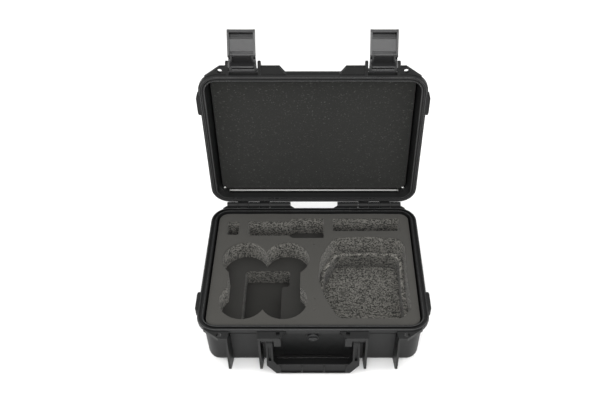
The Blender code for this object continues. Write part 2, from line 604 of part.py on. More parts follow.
def lever_pin(tag, side):
    return finish(rod(f"lever_pin_{tag}", (side * LATCH_X, LEVER_Y, LEVER_Z), 1.6 * MM,
                      LATCH_WIDTH - 1.2 * MM), STEEL)


def latch_lever(tag, side):
    """The part pulled by hand: two rails on the pin and a sleeve between the link's lugs, a web, and
    a finger lip that curls away."""
    name = f"latch_lever_{tag}"
    middle, half = side * LATCH_X, LATCH_WIDTH / 2
    rail = 2.6 * MM
    pin, end = (LEVER_Y, LEVER_Z), (LEVER_Y - 1 * MM, LEVER_Z - LEVER_LENGTH + 5 * MM)
    lever = prism(name, stadium(pin, end, 4 * MM), middle - half, middle - half + rail, "YZ")
    join(lever, prism(f"{name}_rail", stadium(pin, end, 4 * MM), middle + half - rail, middle + half,
                      "YZ"))
    # the web runs straight down behind the rails, then curls outwards on an arc
    bend, inner, thick = (LATCH_Y - 17 * MM, LEVER_Z - 18 * MM), 14.6 * MM, 2.2 * MM
    web = ([(bend[0] + inner, LEVER_Z - 3.5 * MM)] + arc(bend, inner, 0, -50, 5)
           + arc(bend, inner + thick, -50, 0, 5) + [(bend[0] + inner + thick, LEVER_Z - 3.5 * MM)])
    join(lever, prism(f"{name}_web", web[::-1], middle - half + 0.4 * MM, middle + half - 0.4 * MM, "YZ"))
    sleeve = LUG_NEAR - GAP
    join(lever, rod(f"{name}_end", (middle, end[0], end[1] - 1.4 * MM), 2.4 * MM, LATCH_WIDTH - 1 * MM),
         rod(f"{name}_sleeve", (middle, LEVER_Y, LEVER_Z), 3 * MM, 2 * sleeve),
         box(f"{name}_tongue", (middle - sleeve, LATCH_Y - 2.4 * MM, LEVER_Z - 6 * MM),
             (middle + sleeve, LATCH_Y - 0.3 * MM, LEVER_Z - 1 * MM)))
    cut(lever, rod(f"{name}_bore", (middle, LEVER_Y, LEVER_Z), 1.6 * MM + GAP, 60 * MM, "X", 12))
    return finish(lever, PLASTIC_MOVING)


# ---- handle --------------------------------------------------------------------------------------
def handle_frame():
    """A U-shaped handle: two arms on the pins and a grip with cut corners and sunk panels."""
    half, arm, deep = HANDLE_WIDTH / 2, 9.3 * MM, 6 * MM
    low = HANDLE_Z - HANDLE_DROP
    slope, thick = 12.5 * MM, 18 * MM
    outline = [(-half, low + 16 * MM), (-half + slope, low), (half - slope, low), (half, low + 16 * MM),
               (half, low + 26 * MM), (half - arm, low + 26 * MM), (half - arm - 5 * MM, low + thick),
               (-half + arm + 5 * MM, low + thick), (-half + arm, low + 26 * MM), (-half, low + 26 * MM)]
    back, front = HANDLE_Y + deep, HANDLE_Y - deep
    handle = prism("handle", outline, front, back, "XZ")
    for side, tag in ((-1, "left"), (1, "right")):
        ends = sorted((side * (half - arm), side * (half - 0.05 * MM)))
        side_view = stadium((HANDLE_Y, HANDLE_Z), (HANDLE_Y, low + 22 * MM), deep - 0.1 * MM)
        join(handle, prism(f"handle_arm_{tag}", side_view, *ends, "YZ"))
        cut(handle, rod(f"handle_bore_{tag}", (side * 58 * MM, HANDLE_Y, HANDLE_Z),
                        HANDLE_PIN_RADIUS + GAP, 20 * MM, "X", 12))
        channel = sorted((side * (half - 2.6 * MM), side * (half - arm + 2.6 * MM)))
        cut(handle, box(f"handle_channel_{tag}", (channel[0], front - 2 * MM, low + 26 * MM),
                        (channel[1], front + 3 * MM, HANDLE_Z - 8 * MM)))
    for number, centre in enumerate((-31 * MM, 0, 31 * MM)):
        cut(handle, box(f"handle_panel_{number}", (centre - 14.3 * MM, front - 2 * MM, low + 2.4 * MM),
                        (centre + 14.3 * MM, front + 1.2 * MM, low + thick - 3 * MM)))
    return finish(handle, PLASTIC_MOVING)


# ---- joints --------------------------------------------------------------------------------------
def pivot(name, place, turn, parent=None, parent_place=None):
    """An empty on a joint's axis, turned about X to the pose at rest."""
    empty = bpy.data.objects.new(name, None)
    empty.empty_display_size = 20 * MM
    bpy.data.collections["drone_carrying_case"].objects.link(empty)
    empty.parent = parent
    empty.location = Vector(place) - Vector(parent_place or (0, 0, 0))
    empty.rotation_euler = (math.radians(turn), 0, 0)
    return empty


def carry(empty, place, *parts):
    """Hangs parts, drawn with the case shut, on a pivot."""
    for part in parts:
        part.parent = empty
        part.location = -Vector(place)


def main():
    clear_scene()
    new_group("drone_carrying_case")
    new_group("cutters")
    base_shell()
    base_foams()
    base_pins()
    knob_place = (0, -114 * MM, VALVE_Z)
    carry(pivot("valve_pivot", knob_place, 0), knob_place, valve())

    hinge_place = (0, HINGE_Y, HINGE_Z)
    hinge = pivot("lid_pivot", hinge_place, LID_OPEN)
    carry(hinge, hinge_place, lid_shell(), lid_seal(), *lid_inside(), *latch_pins())
    for side, tag in ((-1, "left"), (1, "right")):
        link_place = (side * LATCH_X, LATCH_Y, LATCH_Z)
        lever_place = (side * LATCH_X, LEVER_Y, LEVER_Z)
        link = pivot(f"link_pivot_{tag}", link_place, LINK_OPEN, hinge, hinge_place)
        lever = pivot(f"lever_pivot_{tag}", lever_place, LEVER_OPEN, link, link_place)
        carry(link, link_place, latch_link(tag, side), lever_pin(tag, side))
        carry(lever, lever_place, latch_lever(tag, side))

    handle_place = (0, HANDLE_Y, HANDLE_Z)
    carry(pivot("handle_pivot", handle_place, HANDLE_REST), handle_place, handle_frame())


main()
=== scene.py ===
"""Looks of a hard carrying case with cut foam for a palm-sized ducted drone and its goggles.

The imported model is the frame.  Its moulded shells, latches, handle and pins keep their own shape
and get rounded edges and a finish.  The foam, the seal, the valve, and the lid's rod and studs are
worked out here as surfaces and stand for their plain solids; the beads of the rims, the latches and
the handle are added to theirs.  Shapes of the lid are drawn with the case shut, X to the right,
Y to the back and Z up, and are then turned open about the hinge.
"""

import json
import math

import bmesh
import bpy
import numpy as np
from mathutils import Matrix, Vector, geometry


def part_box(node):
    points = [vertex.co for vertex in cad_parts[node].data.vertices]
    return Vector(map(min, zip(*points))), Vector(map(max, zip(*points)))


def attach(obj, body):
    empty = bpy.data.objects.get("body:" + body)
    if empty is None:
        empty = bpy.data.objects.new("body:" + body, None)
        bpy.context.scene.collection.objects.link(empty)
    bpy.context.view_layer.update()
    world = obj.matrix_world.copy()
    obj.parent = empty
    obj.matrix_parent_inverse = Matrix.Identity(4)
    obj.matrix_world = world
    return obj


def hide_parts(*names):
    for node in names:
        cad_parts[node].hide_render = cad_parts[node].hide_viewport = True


bl_info = {
    "name": "Drone Carrying Case",
    "version": (1, 0, 0),
    "blender": (4, 5, 0),
    "location": "View3D > Sidebar > Case",
    "description": "Finishes a hard carrying case: shells, foam, seal, latches, valve and stage",
    "category": "Add Mesh",
}

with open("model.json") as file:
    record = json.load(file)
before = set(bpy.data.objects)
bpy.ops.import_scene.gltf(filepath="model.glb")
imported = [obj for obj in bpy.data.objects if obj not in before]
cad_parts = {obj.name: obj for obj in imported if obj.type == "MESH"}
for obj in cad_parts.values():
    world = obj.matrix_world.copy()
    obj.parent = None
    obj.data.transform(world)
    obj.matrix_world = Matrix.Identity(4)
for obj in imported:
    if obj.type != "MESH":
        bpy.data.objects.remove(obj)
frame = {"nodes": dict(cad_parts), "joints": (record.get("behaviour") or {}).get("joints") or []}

MM = 0.001
JOINTS = {joint["name"]: joint for joint in frame["joints"]}
HINGE = np.array(JOINTS["lid_hinge"]["pos_m"])
LATCH_X = JOINTS["link_swing_right"]["pos_m"][0]

# the case shut: pin of a latch in the lid, and pin between its link and its lever
LATCH_PIN = np.array([0, -126, 85]) * MM
LEVER_PIN = np.array([0, -126, 59.5]) * MM

# how far each joint stands from its shut pose at rest, in degrees about X
LID_TURN = -JOINTS["lid_hinge"]["range_deg"][1]
LINK_TURN = -JOINTS["link_swing_left"]["range_deg"][1]
LEVER_TURN = -JOINTS["lever_swing_left"]["range_deg"][1]
HANDLE_TURN = -5.5

RIM_RADIUS = 27 * MM                    # corner of the rim seen from above
HALF_PARTING = 0.15 * MM                # half the gap between the two rims when shut
SEAL_INSET = 4.8 * MM - 1.15 * MM       # rim's edge to the outer side of the seal's cord
SEAL_CORNER = 22 * MM

# beads in mm: insets of the two on each rim, and half their width, their height and their foot
BEAD_INSETS = {"base": (1.5, 7.4), "lid": (2.7, 8.5)}
BEAD_HALF, BEAD_HIGH, BEAD_FOOT = 0.55, 0.25, 0.3

# round bars of a latch in mm, half their length and their radius: lip rib, web bar and toe bar
LIP_RIB, WEB_BAR, TOE_BAR = (15.6, 0.65), (17.4, 1.4), (15.8, 1.5)
WEB_PLACE, TOE_PLACE = (-125.9, 56.8), (-115.9, 72.5)   # Y and Z, shut
LIP_BEND, LIP_RADIUS = (0, -17, -18), 16.9              # centre, from the lever's pin, and radius

# handle in mm, hanging straight down: middle of the grip, ribs on it and bead along it
GRIP, GRIP_RIBS_X = (0, -130.3, 11.8), (-46, -15.5, 15.5, 46)
GRIP_RIB, GRIP_BEAD, GRIP_BEAD_UP = (7.4, 1.1), (50.5, 1.2), (0, 0.6, 8.6)

# valve in mm, (out of the wall, radius): a flange with a raised ring, and a dished knob
VALVE_FLANGE = ((8, 0), (8, 5.8), (-0.3, 5.8), (-0.3, 8.8), (-0.7, 9.2), (-2.1, 9.2), (-2.5, 8.9),
                (-2.5, 8.2), (-2.1, 7.9), (-2.1, 0))
VALVE_KNOB = ((-2.8, 0), (-2.8, 7.2), (-3.2, 7.6), (-5.8, 7.6), (-6.4, 7.1), (-6.4, 6.3),
              (-6, 5.9), (-6, 0))
FLANGE_OUT = 2.5 * MM                   # how far the flange stands out of the wall
TURN_BAR, BAR_DEPTH = (6.6, 1.5), 2.2   # the knob's bar, and half its depth

ROD_DOME = 0.6                          # length of the rod's domed ends, as a share of its radius
ROD_NECK = ((1.2, 1), (1.6, 0.86), (2.6, 0.86), (3, 1))  # mm behind the dome, share of the radius
PIN_EDGE = 0.3 * MM
MERGE = 2e-6                            # points of two surfaces nearer than this are one

# each light's name, place, aim and size in metres, and the setting that holds its power
CASE_MIDDLE = (0, 0, 0.12)
LIGHTS = (("top light", (0, -0.2, 2.4), (0, -0.2, 0), 3.6, "top_light"),
          ("front light", (0, -1.25, 1.0), CASE_MIDDLE, 0.9, "front_light"),
          ("left light", (-1.3, -0.15, 0.6), CASE_MIDDLE, 0.8, "side_light"),
          ("right light", (1.3, -0.15, 0.6), CASE_MIDDLE, 0.8, "side_light"))

MOULDED = ["base_shell", "lid_shell"]
LATCHES = ["latch_link_left", "latch_link_right", "latch_lever_left", "latch_lever_right"]
PINS = ["latch_pin_left", "latch_pin_right", "lever_pin_left", "lever_pin_right", "hinge_pin_left",
        "hinge_pin_right", "handle_pin_left", "handle_pin_right"]

# outlines of the cut-outs seen from above, in mm, anticlockwise
DRONE_BODY = (-124, -19, -74, 22)
DRONE_DUCTS = ((-102, 13.5), (-39.5, 13.5), (-99.5, -64), (-41.5, -64))
DRONE_DEEP = ((-103, -78), (-47, -78), (-47, -12), (-36, -12), (-36, 19), (-103, 19))
GOGGLES = ((21, 40), (10, 15), (7, -23), (15.5, -56), (25, -78), (36, -96), (124, -96), (138, -78),
           (136.5, -28), (138, 43), (128, 56), (79, 59), (31, 56))
BATTERY_SLOT = ((-102, 61.5), (-38, 61.5), (-33, 56), (15.5, 56), (15.5, 98), (-34, 98), (-39, 92),
                (-102, 92))
CABLE_SLOT = ((29.5, 71), (133, 71), (133, 98), (29.5, 98))
PIN_HOLES = ((0.5, 42), (2.5, -61), (1.5, -79.5))
SMALL_SLOT = ((-134, 63), (-116, 63), (-116, 91), (-134, 91))
DUCT_RADIUS, BODY_POWER = 33.3, 14      # the drone's ducts, and how square its body is
PIN_HOLE, LEDGE = 0.9 * MM, 6.5 * MM    # radius of a pin hole; width of the goggles' ledge
CUT_STEP = 1.2 * MM                     # between the points of a cut's outline
SKIN_DOWN = 0.7 * MM                    # how far the smooth skin reaches down a cut's edge
BASE_CORNER, LID_CORNER = 14 * MM, 10 * MM          # corners of the foam sheets
LID_FOAM_EDGE, LID_FOAM_TAPER = 1.6 * MM, 5.6 * MM  # round of its face, and its narrowing behind

# painted shade of each sheet, darker deeper in the cuts where shade falls: under its face and at
# its lower face
SHEET_PAINTED_SHADE = {"base_foam_top": (0, 0.35), "base_foam_middle": (0.35, 0.8),
              "base_foam_pad": (0.5, 0.5)}


# ---- outlines and surfaces ---------------------------------------------------------------------
def rectangle(x0, x1, y0, y1, radius, steps=12):
    """A rectangle with round corners, anticlockwise: on each corner, its centre plus radius times
    (cos a, sin a), with a running through a quarter turn."""
    centres = np.array([(x1 - radius, y1 - radius), (x0 + radius, y1 - radius),
                        (x0 + radius, y0 + radius), (x1 - radius, y0 + radius)])
    angles = np.radians(90 * (np.arange(4)[:, None] + np.linspace(0, 1, steps + 1)[None, :]))
    ring = centres[:, None] + radius * np.stack([np.cos(angles), np.sin(angles)], axis=-1)
    return ring.reshape(-1, 2)


def rounded(corners, radius, steps=8):
    """A polygon whose corners C become S(1-t)^2 + 2Ct(1-t) + Et^2, from S to E on the two edges."""
    here = np.array(corners, float)
    back, on = np.roll(here, 1, 0) - here, np.roll(here, -1, 0) - here
    back_long = np.linalg.norm(back, axis=1, keepdims=True)
    on_long = np.linalg.norm(on, axis=1, keepdims=True)
    # less than half an edge, so that two corners leave some of it straight
    reach = np.minimum(radius, np.minimum(back_long, on_long) / 2.2)
    start, end = here + back / back_long * reach, here + on / on_long * reach
    t = np.linspace(0, 1, steps + 1)[None, :, None]
    start, here, end = start[:, None], here[:, None], end[:, None]
    return (start * (1 - t) ** 2 + here * 2 * t * (1 - t) + end * t ** 2).reshape(-1, 2)


def four_ducts(radius, power, samples=1440):
    """The drone's outline: in each direction from its middle, the furthest of where the ray leaves
    a duct's circle, b + sqrt(radius^2 - d^2 + b^2) with b the centre's distance along the ray, and
    where it leaves the body, a superellipse |x / a|^power + |y / b|^power = 1."""
    x0, x1, y0, y1 = DRONE_BODY
    middle = np.array([(x0 + x1) / 2, (y0 + y1) / 2])
    angle = np.linspace(0, 2 * math.pi, samples, endpoint=False)
    ray = np.stack([np.cos(angle), np.sin(angle)], axis=-1)
    offset = np.array(DRONE_DUCTS) - middle
    along = ray @ offset.T
    inside = radius ** 2 - (offset ** 2).sum(1)[None] + along ** 2
    duct = np.where((inside > 0) & (along > 0), along + np.sqrt(np.maximum(inside, 0)), 0).max(1)
    half = np.array([(x1 - x0) / 2, (y1 - y0) / 2])
    body = ((np.abs(ray) / half) ** power).sum(1) ** (-1 / power)
    return middle + ray * np.maximum(duct, body)[:, None]


def even(outline, spacing):
    """The closed outline with its points spread evenly along it."""
    closed = np.vstack([outline, outline[:1]])
    run = np.concatenate([[0], np.cumsum(np.linalg.norm(np.diff(closed, axis=0), axis=1))])
    count = max(24, int(run[-1] / spacing))
    at = np.arange(count) * run[-1] / count
    return np.stack([np.interp(at, run, closed[:, 0]), np.interp(at, run, closed[:, 1])], axis=-1)


def outward(path):
    """Unit normals of a closed anticlockwise path: the tangent a quarter turn to the right."""
    tangent = np.roll(path, -1, 0) - np.roll(path, 1, 0)
    tangent /= np.linalg.norm(tangent, axis=1, keepdims=True)
    return np.stack([tangent[:, 1], -tangent[:, 0]], axis=-1)


def quads(rows, columns, wrap_rows=True, wrap_columns=False):
    """Four indices for each cell of a grid of points stored row by row."""
    i = np.arange(rows if wrap_rows else rows - 1)[:, None]
    j = np.arange(columns if wrap_columns else columns - 1)[None, :]
    after, beside = (i + 1) % rows, (j + 1) % columns
    return np.stack([i * columns + j, i * columns + beside, after * columns + beside,
                     after * columns + j], axis=-1).reshape(-1, 4)


def carried(path, profile, closed=False):
    """A profile of (outwards, height) pairs carried along a closed path: the point is the path's
    point plus outwards times its normal, at that height."""
    out, height = np.array(profile, float).T
    flat = path[:, None] + outward(path)[:, None] * out[None, :, None]
    level = np.broadcast_to(height[None, :, None], flat.shape[:2] + (1,))
    points = np.concatenate([flat, level], -1)
    return points.reshape(-1, 3), quads(len(path), len(out), True, closed)


def turned(profile, sides=48):
    """A profile of (along, radius) pairs turned about X: (along, radius cos a, radius sin a)."""
    along, radius = np.array(profile, float).T
    angle = np.linspace(0, 2 * math.pi, sides, endpoint=False)[:, None]
    points = np.stack([np.broadcast_to(along, (sides, len(along))), radius * np.cos(angle),
                       radius * np.sin(angle)], axis=-1)
    return points.reshape(-1, 3), quads(sides, len(along))


def capsule(half, radius, steps=5):
    """The profile of a bar with domed ends: half - radius + radius cos a along, radius sin a
    out."""
    angle = np.linspace(0, math.pi / 2, steps + 1)
    end = np.stack([half - radius + radius * np.cos(angle), radius * np.sin(angle)], axis=-1)
    return np.concatenate([end, end[::-1] * (-1, 1)])


def quarter(radius, start, end, steps=4):
    """(cos, sin) pairs times a radius between two angles in degrees."""
    angle = np.radians(np.linspace(start, end, steps + 1))
    return np.stack([radius * np.cos(angle), radius * np.sin(angle)], axis=-1)


def inside(points, loop):
    """True where a point lies in a closed loop: an odd number of edges pass to its right."""
    x, y = points[:, :1], points[:, 1:]
    (ax, ay), (bx, by) = loop.T, np.roll(loop, -1, 0).T
    crosses = (ay > y) != (by > y)
    with np.errstate(divide="ignore", invalid="ignore"):
        right = x < (bx - ax) * (y - ay) / (by - ay) + ax
    return (crosses & right).sum(1) % 2 == 1


def plate(outer, holes, height, spacing):
    """A level face between an outer loop and the loops of its holes, in triangles over a lattice of
    the given spacing."""
    loops = [outer, *holes]
    points = np.vstack(loops)
    starts = np.cumsum([0] + [len(loop) for loop in loops])
    edges = [(int(s + k), int(s + (k + 1) % n)) for s, n in zip(starts, map(len, loops))
             for k in range(n)]
    (x0, y0), (x1, y1) = outer.min(0), outer.max(0)
    lattice = np.stack(np.meshgrid(np.arange(x0, x1, spacing), np.arange(y0, y1, spacing)), -1)
    lattice = lattice.reshape(-1, 2)
    keep = inside(lattice, outer)
    for hole in holes:
        keep &= ~inside(lattice, hole)
    points = np.vstack([points, lattice[keep]])
    found = geometry.delaunay_2d_cdt([Vector(p) for p in points.tolist()], edges, [], 0, 1e-9)
    flat = np.array([v[:] for v in found[0]])
    triangles = np.array([f[:] for f in found[2]])
    middle = flat[triangles].mean(1)
    keep = inside(middle, outer)
    for hole in holes:
        keep &= ~inside(middle, hole)
    return np.column_stack([flat, np.full(len(flat), height)]), triangles[keep]


def opened(points):
    """Points of the shut lid turned open about the hinge."""
    return swung(points, HINGE, LID_TURN)


def swung(points, place, degrees):
    """Points turned about an axis along X through a place."""
    turn = math.radians(degrees)
    y, z = points[:, 1] - place[1], points[:, 2] - place[2]
    return np.column_stack([points[:, 0], place[1] + y * math.cos(turn) - z * math.sin(turn),
                            place[2] + y * math.sin(turn) + z * math.cos(turn)])


def shut_box(node):
    """The corners of a lid node's box with the lid turned shut: the lowest and the highest."""
    return np.sort([swung(np.array([corner]), HINGE, -LID_TURN)[0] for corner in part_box(node)],
                   axis=0)


def bar(size, sides=16):
    """A bar with domed ends along X, from half its length and its radius in mm."""
    return turned(capsule(*place_of(size)), sides)


def cut_out(corners, radius):
    """The outline of a cut-out from its corners and their rounding, both in mm."""
    return even(rounded(place_of(corners), radius * MM), CUT_STEP)


# ---- pieces ------------------------------------------------------------------------------------
def new_piece(name, surfaces, material, body, slot, stands_for=(), sharp=38, **values):
    """One closed object from (points, faces) surfaces whose shared edges are merged.  Each further
    value is a function of its points that becomes an attribute of that name."""
    mesh = bpy.data.meshes.new(name)
    bm = bmesh.new()
    for points, faces in surfaces:
        part = bpy.data.meshes.new("surface")
        part.from_pydata(points.tolist(), [], faces.tolist())
        bm.from_mesh(part)
        bpy.data.meshes.remove(part)
    bmesh.ops.delete(bm, geom=[v for v in bm.verts if not v.link_faces], context="VERTS")
    bmesh.ops.remove_doubles(bm, verts=bm.verts, dist=MERGE)
    bmesh.ops.recalc_face_normals(bm, faces=bm.faces)
    bm.to_mesh(mesh)
    bm.free()
    mesh.shade_smooth()
    mesh.set_sharp_from_angle(angle=math.radians(sharp))
    mesh.materials.append(material)
    place = np.zeros(len(mesh.vertices) * 3)
    mesh.vertices.foreach_get("co", place)
    for attribute, value in values.items():
        mesh.attributes.new(attribute, "FLOAT", "POINT").data.foreach_set(
            "value", value(place.reshape(-1, 3)).astype(np.float32))
    piece = bpy.data.objects.new(name, mesh)
    bpy.context.scene.collection.objects.link(piece)
    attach(piece, body)
    if stands_for:
        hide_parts(*stands_for)
    return piece


def soften(node, width, material):
    """Rounds the moulded edges of a node of the frame and gives it its finish."""
    piece = frame["nodes"][node]
    piece.data.materials.clear()
    piece.data.materials.append(material)
    piece.data.shade_smooth()
    weld = piece.modifiers.new("merge the facets", "WELD")
    weld.merge_threshold = 0.02 * MM
    flat = piece.modifiers.new("flat faces", "DECIMATE")
    flat.decimate_type = "DISSOLVE"
    flat.angle_limit = math.radians(1)
    bevel = piece.modifiers.new("moulded edges", "BEVEL")
    bevel.width = width
    bevel.segments = 2
    bevel.limit_method = "ANGLE"
    bevel.angle_limit = math.radians(32)
    bevel.miter_outer = "MITER_ARC"
    piece.modifiers.new("even shading", "WEIGHTED_NORMAL").keep_sharp = True
    return piece


def place_of(value):
    """Numbers in mm as an array in metres."""
    return np.array(value, float) * MM


# ---- finishes ----------------------------------------------------------------------------------
class Value:
    """A socket's value in Python sums: each operation adds its Math node."""

    def __init__(self, finish, socket):
        self.finish, self.socket = finish, socket

    def sum_of(self, operation, first, second):
        return self.finish.node("ShaderNodeMath", {"operation": operation}, {0: first, 1: second})

    def __add__(self, other):
        return self.sum_of("ADD", self, other)

    def __radd__(self, other):
        return self.sum_of("ADD", other, self)

    def __sub__(self, other):
        return self.sum_of("SUBTRACT", self, other)

    def __rsub__(self, other):
        return self.sum_of("SUBTRACT", other, self)

    def __mul__(self, other):
        return self.sum_of("MULTIPLY", self, other)


class Finish:
    """A material on the Principled shader, whose nodes all come from node()."""

    def __init__(self, name):
        self.material = bpy.data.materials.new(name)
        self.material.use_nodes = True
        self.tree = self.material.node_tree
        self.shader = self.tree.nodes["Principled BSDF"]

    def node(self, kind, settings, sockets, output=0):
        made = self.tree.nodes.new(kind)
        for name, value in settings.items():
            if name == "stops":
                self.set_stops(made.color_ramp, value)
            else:
                setattr(made, name, value)
        for name, value in sockets.items():
            self.feed(made.inputs[name], value)
        return Value(self, made.outputs[output])

    def set_stops(self, ramp, stops):
        while len(ramp.elements) < len(stops):
            ramp.elements.new(1)
        for element, (position, level) in zip(ramp.elements, stops):
            element.position = position
            element.color = (level, level, level, 1)

    def feed(self, socket, value):
        if isinstance(value, Value):
            self.tree.links.new(value.socket, socket)
        elif socket.type == "RGBA":
            socket.default_value = (*value[:3], 1)
        else:
            socket.default_value = value

    def place(self, stretch=(1, 1, 1)):
        """Object coordinates, in metres, stretched along an axis."""
        where = self.node("ShaderNodeTexCoord", {}, {}, "Object")
        return self.node("ShaderNodeMapping", {}, {"Vector": where, "Scale": stretch})

    def noise(self, where, size, detail=2.0, roughness=0.5):
        """Noise whose lumps are about size metres across, from 0 to 1."""
        sockets = {"Vector": where, "Scale": 1 / size, "Detail": detail, "Roughness": roughness}
        return self.node("ShaderNodeTexNoise", {}, sockets, "Fac")

    def cells(self, where, size, output="Distance"):
        """Cells about size metres across: the distance from a cell's middle, or its own colour."""
        return self.node("ShaderNodeTexVoronoi", {}, {"Vector": where, "Scale": 1 / size}, output)

    def ramp(self, factor, *stops):
        """A grey ramp through (position, level) stops."""
        return self.node("ShaderNodeValToRGB", {"stops": stops}, {"Fac": factor}, "Color")

    def mix(self, factor, first, second):
        """From the first colour to the second, which are a Mix node's sockets 6 and 7."""
        sockets = {0: factor, 6: first, 7: second}
        return self.node("ShaderNodeMix", {"data_type": "RGBA"}, sockets, 2)

    def bump(self, height, depth, strength=1.0):
        return self.node("ShaderNodeBump", {}, {"Height": height, "Distance": depth,
                                                "Strength": strength})

    def done(self, **sockets):
        """Feeds the shader's sockets, named in lower case with underscores."""
        for name, value in sockets.items():
            label = name.replace("_", " ").title().replace("Ior", "IOR")
            self.feed(self.shader.inputs[label], value)
        return self.material


def shade(colour, factor):
    return tuple(min(1.0, c * factor) for c in colour)


def moulded_plastic(name, colour, roughness, grain, shine=0.2):
    """Black moulded plastic: a fine stipple from the mould, soft cloudy patches and faint rubs."""
    finish = Finish(name)
    where = finish.place()
    cloud = finish.noise(where, 60 * MM, 3)
    stipple = finish.cells(where, grain)
    fine = finish.noise(where, grain / 3, 2, 0.6)
    rubs = finish.noise(finish.place((1, 1, 0.25)), 9 * MM, 5, 0.65)
    rubs = finish.ramp(rubs, (0.52, 0), (0.72, 1))
    base = finish.mix(cloud, shade(colour, 0.8), shade(colour, 1.22))
    base = finish.mix(rubs * 0.22, base, shade(colour, 1.9))
    dimple = finish.mix(finish.ramp(stipple, (0.15, 1), (0.6, 0)) * 0.25, base, shade(colour, 0.55))
    return finish.done(
        base_color=dimple,
        roughness=roughness - 0.05 + cloud * 0.1 + rubs * 0.07 + fine * 0.04,
        normal=finish.bump(stipple * 0.7 + fine * 0.3, 0.09 * MM, 0.8),
        specular_ior_level=shine,
    )


def cut_foam(name, skin, dark, light, cell, dust=0.0):
    """Foam with a smooth skin and open cells where it is cut: the attribute cut goes from one to
    the other.  A cell is dark in its middle, its edge as light as its own random number says.
    An attribute of painted shade, 1 at the bottom of a cut, darkens the cells; below 0, along a
    ledge's edge, it lightens them as a painted highlight."""
    finish = Finish(name)
    where = finish.place()
    cut = finish.node("ShaderNodeAttribute", {"attribute_name": "cut"}, {}, "Fac")
    pore = finish.cells(where, cell)
    own = finish.node("ShaderNodeSeparateColor", {}, {"Color": finish.cells(where, cell, "Color")})
    small = finish.cells(where, cell * 0.45)
    speck = finish.ramp(own * 0.72 + pore * 0.35 + small * 0.18, (0.3, 0), (0.62, 0.42), (0.86, 1))
    deep = finish.node("ShaderNodeAttribute", {"attribute_name": "deep"}, {}, "Fac")
    # painted shade darkens the struts deeper in the cuts; below 0 it lightens them as a painted
    # highlight
    open_cells = finish.mix(speck * (0.78 - deep * 0.5), dark, light)
    cloud = finish.noise(where, 45 * MM, 4)
    grain = finish.noise(where, 0.9 * MM, 3, 0.7)
    pits = finish.ramp(finish.cells(where, 1.6 * MM), (0.06, 1), (0.2, 0))
    skin_colour = finish.mix(cloud * 0.5 + grain * 0.5, shade(skin, 0.8), shade(skin, 1.2))
    skin_colour = finish.mix(pits * 0.5, skin_colour, shade(skin, 0.45))
    if dust:
        motes = finish.noise(finish.place((1, 1, 1.6)), 2.6 * MM, 3, 0.7)
        motes = finish.ramp(motes, (0.61, 0), (0.72, 1))
        skin_colour = finish.mix(motes * dust, skin_colour, (0.16, 0.16, 0.15))
        # painted shade: darker streaks along X where the sheet's creases would hold shade, with no
        # crease in the shape
        crease_shade = finish.noise(finish.place((0.16, 1, 1)), 3 * MM, 4, 0.6)
        crease_shade = finish.ramp(crease_shade, (0.6, 0), (0.7, 1))
        skin_colour = finish.mix(crease_shade * 0.35, skin_colour, shade(skin, 0.35))
    relief = (small * 0.4 + pore * 0.6) * cut + (grain * 0.3 - pits * 0.3) * (1 - cut)
    return finish.done(
        base_color=finish.mix(cut, skin_colour, open_cells),
        roughness=0.93 - grain * 0.08,
        normal=finish.bump(relief, 0.5 * MM, 0.8),
        specular_ior_level=0.25,
        sheen_weight=0.08,
        sheen_roughness=0.6,
    )


def seal_rubber(name, colour):
    """Soft black rubber with a bloom of fine dust."""
    finish = Finish(name)
    where = finish.place()
    bloom = finish.noise(where, 12 * MM, 5, 0.6)
    fine = finish.noise(where, 0.5 * MM, 2)
    base = finish.mix(finish.ramp(bloom, (0.4, 0), (0.75, 1)) * 0.35, colour, shade(colour, 3))
    return finish.done(base_color=base, roughness=0.55 + bloom * 0.2,
                       normal=finish.bump(fine, 0.05 * MM, 0.6))


def drawn_steel(name, colour):
    """Bright steel with fine draw marks along X and a little staining."""
    finish = Finish(name)
    marks = finish.noise(finish.place((1, 40, 40)), 8 * MM, 3, 0.6)
    stain = finish.noise(finish.place(), 14 * MM, 4, 0.6)
    base = finish.mix(marks * 0.6 + stain * 0.4, shade(colour, 0.72), shade(colour, 1.15))
    return finish.done(base_color=base, metallic=1.0, roughness=0.2 + marks * 0.14 + stain * 0.1,
                       normal=finish.bump(marks, 0.03 * MM, 0.5))


def studio_floor(name, colour):
    """A matt pale floor with the faintest mottling."""
    finish = Finish(name)
    cloud = finish.noise(finish.place(), 0.4, 3)
    return finish.done(base_color=finish.mix(cloud, shade(colour, 0.985), colour),
                       roughness=0.85 + cloud * 0.05)


# ---- settings ----------------------------------------------------------------------------------
def colour_setting(name, description, default):
    return bpy.props.FloatVectorProperty(name=name, description=description, default=default,
                                         subtype="COLOR", size=3, min=0, max=1)


def length_setting(name, description, default):
    return bpy.props.FloatProperty(name=name, description=description, default=default, min=0,
                                   subtype="DISTANCE", unit="LENGTH", precision=5)


